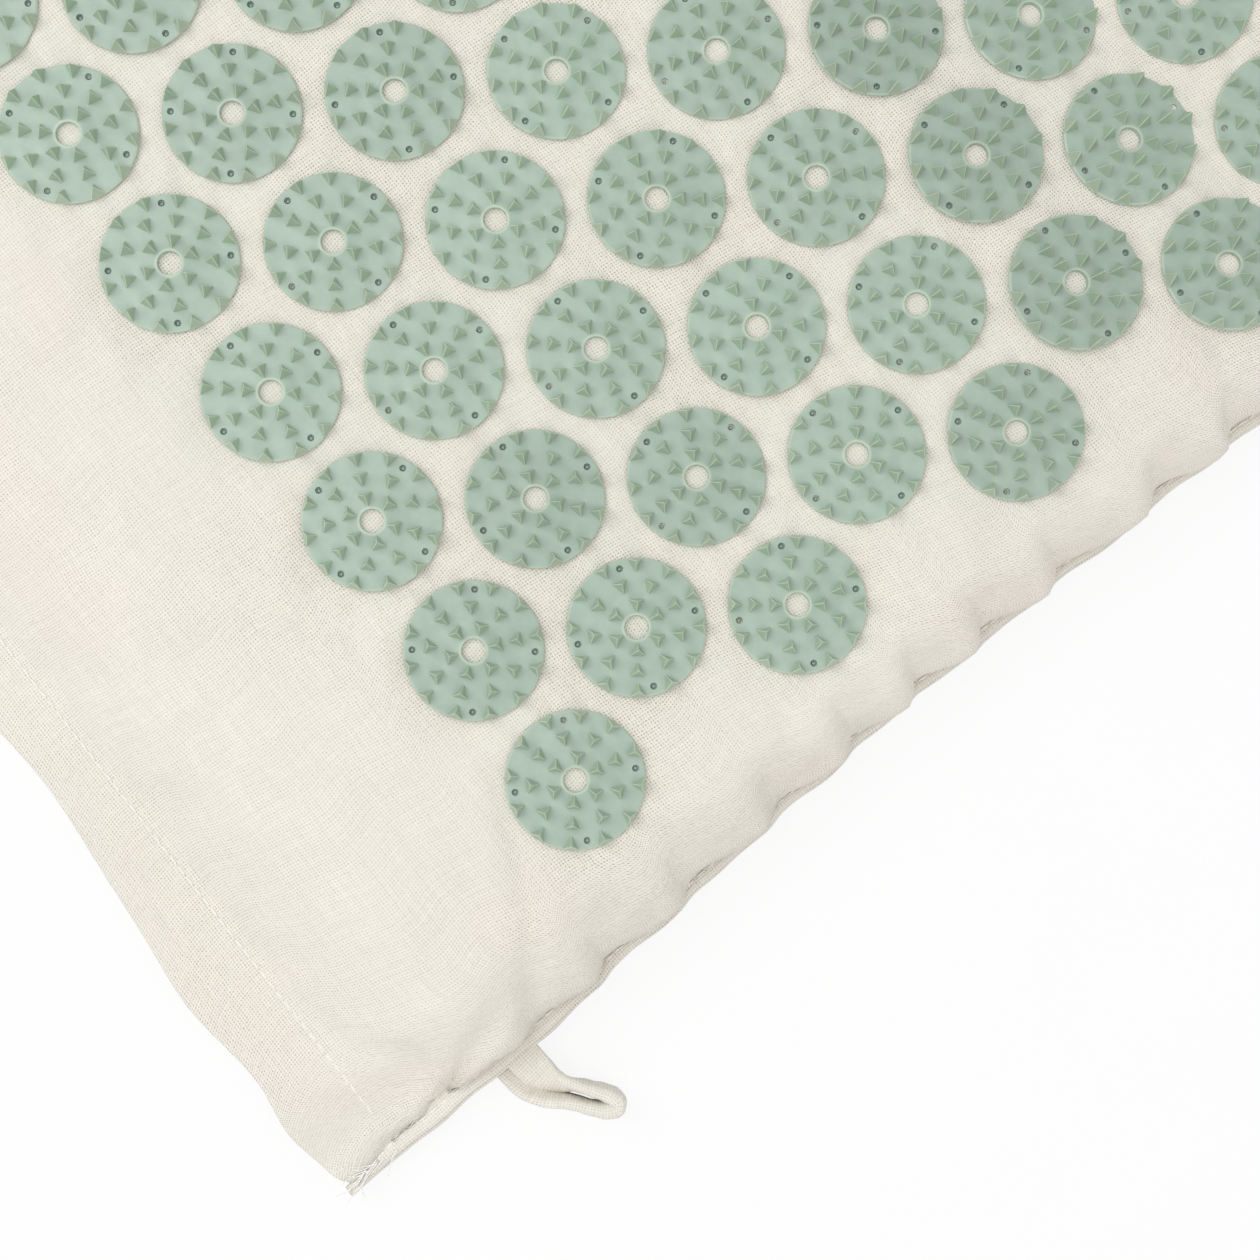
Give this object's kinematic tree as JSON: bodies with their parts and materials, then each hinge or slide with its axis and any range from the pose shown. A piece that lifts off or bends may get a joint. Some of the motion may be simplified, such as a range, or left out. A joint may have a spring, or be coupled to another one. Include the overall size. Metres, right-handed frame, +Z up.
{
  "type": "acupressure mat",
  "caption": "Padded acupressure mat in a cream cloth cover with rows of pale green spiked discs, a hanging loop and a closing lip.",
  "frame": {"origin": "middle of the mat's underside, on the surface it lies on", "axes": "+X along the mat from its open end to its closed end, +Y across it away from the side with the hanging loop, +Z up"},
  "size_m": [0.68, 0.435, 0.0268],
  "materials": {
    "cover_cloth": "plain woven undyed cotton, matt",
    "disc_plastic": "moulded pale sage green plastic with a soft satin sheen",
    "foam": "open-cell foam",
    "closure_tape": "hook and loop tape",
    "loop_tape": "folded strip of the cover cloth"
  },
  "bodies": {
    "mat": {"foam_pad": "foam", "back_panel": "cover_cloth", "front_panel": "cover_cloth", "disc_row_01": "disc_plastic", "disc_row_02": "disc_plastic", "disc_row_03": "disc_plastic", "disc_row_04": "disc_plastic", "disc_row_05": "disc_plastic", "disc_row_06": "disc_plastic", "disc_row_07": "disc_plastic", "disc_row_08": "disc_plastic", "disc_row_09": "disc_plastic", "disc_row_10": "disc_plastic", "disc_row_11": "disc_plastic", "disc_row_12": "disc_plastic", "disc_row_13": "disc_plastic", "disc_row_14": "disc_plastic", "disc_row_15": "disc_plastic", "disc_row_16": "disc_plastic", "disc_row_17": "disc_plastic", "disc_row_18": "disc_plastic", "disc_row_19": "disc_plastic", "disc_row_20": "disc_plastic", "near_welt": "cover_cloth", "far_welt": "cover_cloth", "end_welt": "cover_cloth", "loop_tape": "closure_tape"},
    "lip": {"closing_lip": "cover_cloth", "hook_tape": "closure_tape"},
    "loop": {"hanging_loop": "loop_tape"}
  },
  "joints": [
    {"name": "lip_hinge", "type": "hinge", "parent": "mat", "child": "lip", "pos_m": [-0.3268, 0, 0.0051], "axis": [0, 1, 0], "range_deg": [0, 110]},
    {"name": "loop_hinge", "type": "hinge", "parent": "mat", "child": "loop", "pos_m": [-0.298, -0.2053, 0.00568], "axis": [-1, 0, 0], "range_deg": [0, 80]}
  ]
}
